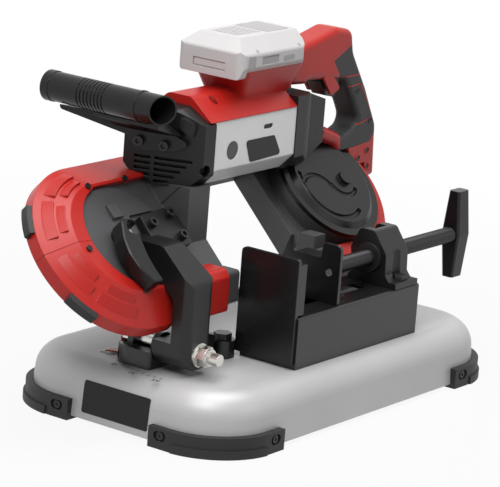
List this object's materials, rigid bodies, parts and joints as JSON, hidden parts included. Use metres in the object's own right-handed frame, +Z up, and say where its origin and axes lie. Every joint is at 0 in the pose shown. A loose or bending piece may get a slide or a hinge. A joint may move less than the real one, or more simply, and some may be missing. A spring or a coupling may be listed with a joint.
{
  "type": "portable band saw on bench stand",
  "caption": "Cordless band saw head on a tilting arm, hinged to a swivelling table on a pressed bench stand with a screw vise; wheels, gears and trigger move.",
  "frame": {"origin": "on the bench under the middle of the whole object's plan", "axes": "+X along the blade towards the vise handle, +Y away from the operator, +Z up"},
  "size_m": [0.5608, 0.3008, 0.367],
  "materials": {
    "pan_silver": "satin",
    "foot_rubber": "matte",
    "vise_black": "satin",
    "cast_black": "semi-matte",
    "black_steel": "oiled",
    "zinc_steel": "zinc plated",
    "bearing_steel": "ground",
    "blade_steel": "bright",
    "bronze": "blackened",
    "handle_black": "matte",
    "red_plastic": "satin",
    "pointer_red": "satin",
    "soft_grip": "soft",
    "trigger_black": "matte",
    "silver_plastic": "satin",
    "frame_grey": "cast, painted dark grey",
    "tyre_rubber": "matte",
    "battery_pale": "matte"
  },
  "bodies": {
    "stand": {"base_pan": "pan_silver", "corner_feet": "foot_rubber", "foot_screws": "black_steel", "vise_bed": "vise_black", "fixed_jaw": "vise_black", "screw_bracket": "cast_black", "vise_nut": "bronze", "vise_bolts": "black_steel", "swivel_bolt": "black_steel"},
    "jaw": {"moving_jaw": "vise_black", "jaw_slide_block": "cast_black"},
    "screw": {"vise_screw": "black_steel", "t_handle": "handle_black", "handle_pin": "black_steel"},
    "table": {"turntable": "vise_black", "mitre_pointer": "pointer_red", "pivot_bolt": "zinc_steel", "pivot_nuts": "zinc_steel"},
    "swivel_lock": {"lock_lever": "handle_black"},
    "head": {"swing_arm": "cast_black", "socket_screws": "black_steel", "main_frame": "frame_grey", "idler_guard_upper": "red_plastic", "idler_guard_lower": "red_plastic", "guard_screws": "black_steel", "guard_bumpers": "foot_rubber", "drive_guard": "red_plastic", "idler_plate": "frame_grey", "gear_cover": "handle_black", "idler_axle": "bearing_steel", "drive_bearing": "bearing_steel", "saw_blade": "blade_steel", "left_guide": "frame_grey", "right_guide": "frame_grey", "guide_cover": "red_plastic", "motor_housing": "silver_plastic", "motor_end_cap": "handle_black", "nose_housing": "handle_black", "top_housing": "red_plastic", "front_handle": "handle_black", "handle_bracket": "handle_black", "rear_handle": "red_plastic", "handle_grip": "soft_grip"},
    "idler": {"idler_wheel": "frame_grey", "idler_tyre": "tyre_rubber", "idler_bearing": "bearing_steel"},
    "drive": {"drive_wheel": "frame_grey", "drive_tyre": "tyre_rubber", "drive_shaft": "bearing_steel", "drive_gear": "bearing_steel"},
    "counter": {"counter_gear": "bearing_steel"},
    "rotor": {"motor_rotor": "bearing_steel"},
    "roller_left": {"left_roller": "bearing_steel"},
    "roller_right": {"right_roller": "bearing_steel"},
    "tension": {"tension_lever": "handle_black"},
    "battery": {"battery_pack": "battery_pale"},
    "latch": {"battery_latch": "battery_pale"},
    "switch": {"trigger": "trigger_black"}
  },
  "joints": [
    {"name": "mitre_swivel", "type": "hinge", "parent": "stand", "child": "table", "pos_m": [-0.07725, -0.0365, 0.06], "axis": [0, 0, 1], "range_deg": [0, 45]},
    {"name": "head_tilt", "type": "hinge", "parent": "table", "child": "head", "pos_m": [-0.15225, -0.0445, 0.082], "axis": [0, -1, 0], "range_deg": [0, 42]},
    {"name": "screw_turn", "type": "hinge", "parent": "jaw", "child": "screw", "pos_m": [0.03375, -0.0795, 0.141], "axis": [1, 0, 0], "range_deg": [-3960, 2700]},
    {"name": "jaw_slide", "type": "slide", "parent": "stand", "child": "jaw", "axis": [1, 0, 0], "range_m": [-0.0441, 0.0301]},
    {"name": "swivel_lock_turn", "type": "hinge", "parent": "table", "child": "swivel_lock", "pos_m": [-0.10625, -0.0345, 0.068], "axis": [0, 1, 0], "range_deg": [-60, 0]},
    {"name": "drive_spin", "type": "hinge", "parent": "head", "child": "drive", "pos_m": [0.14175, 0.02361, 0.17611], "axis": [0, -0.7071, 0.7071], "continuous": true},
    {"name": "idler_spin", "type": "hinge", "parent": "head", "child": "idler", "pos_m": [-0.18825, 0.02361, 0.17611], "axis": [0, -0.7071, 0.7071], "continuous": true},
    {"name": "counter_spin", "type": "hinge", "parent": "head", "child": "counter", "pos_m": [0.11501, 0.0724, 0.2249], "axis": [0, -0.7071, 0.7071], "continuous": true},
    {"name": "rotor_spin", "type": "hinge", "parent": "head", "child": "rotor", "pos_m": [0.03375, 0.03599, 0.26132], "axis": [1, 0, 0], "continuous": true},
    {"name": "left_roller_spin", "type": "hinge", "parent": "head", "child": "roller_left", "pos_m": [-0.07925, -0.0365, 0.1328], "axis": [0, 1, 0], "continuous": true},
    {"name": "right_roller_spin", "type": "hinge", "parent": "head", "child": "roller_right", "pos_m": [0.06675, -0.0365, 0.1328], "axis": [0, 1, 0], "continuous": true},
    {"name": "tension_turn", "type": "hinge", "parent": "head", "child": "tension", "pos_m": [-0.18825, 0.00947, 0.19025], "axis": [0, -0.7071, 0.7071], "range_deg": [-90, 0]},
    {"name": "battery_slide", "type": "slide", "parent": "head", "child": "battery", "axis": [-1, 0, 0], "range_m": [0, 0.06]},
    {"name": "latch_press", "type": "slide", "parent": "battery", "child": "latch", "axis": [1, 0, 0], "range_m": [0, 0.0025], "stiffness_N_per_m": 800},
    {"name": "trigger_squeeze", "type": "slide", "parent": "head", "child": "switch", "axis": [1, 0, 0], "range_m": [0, 0.006], "stiffness_N_per_m": 600}
  ],
  "couplings": [
    {"joint": "jaw_slide", "follows": "screw_turn", "m_per_rad": 0.00063662},
    {"joint": "idler_spin", "follows": "drive_spin", "ratio": 1},
    {"joint": "counter_spin", "follows": "drive_spin", "ratio": -3.625},
    {"joint": "rotor_spin", "follows": "drive_spin", "ratio": 3.625}
  ]
}
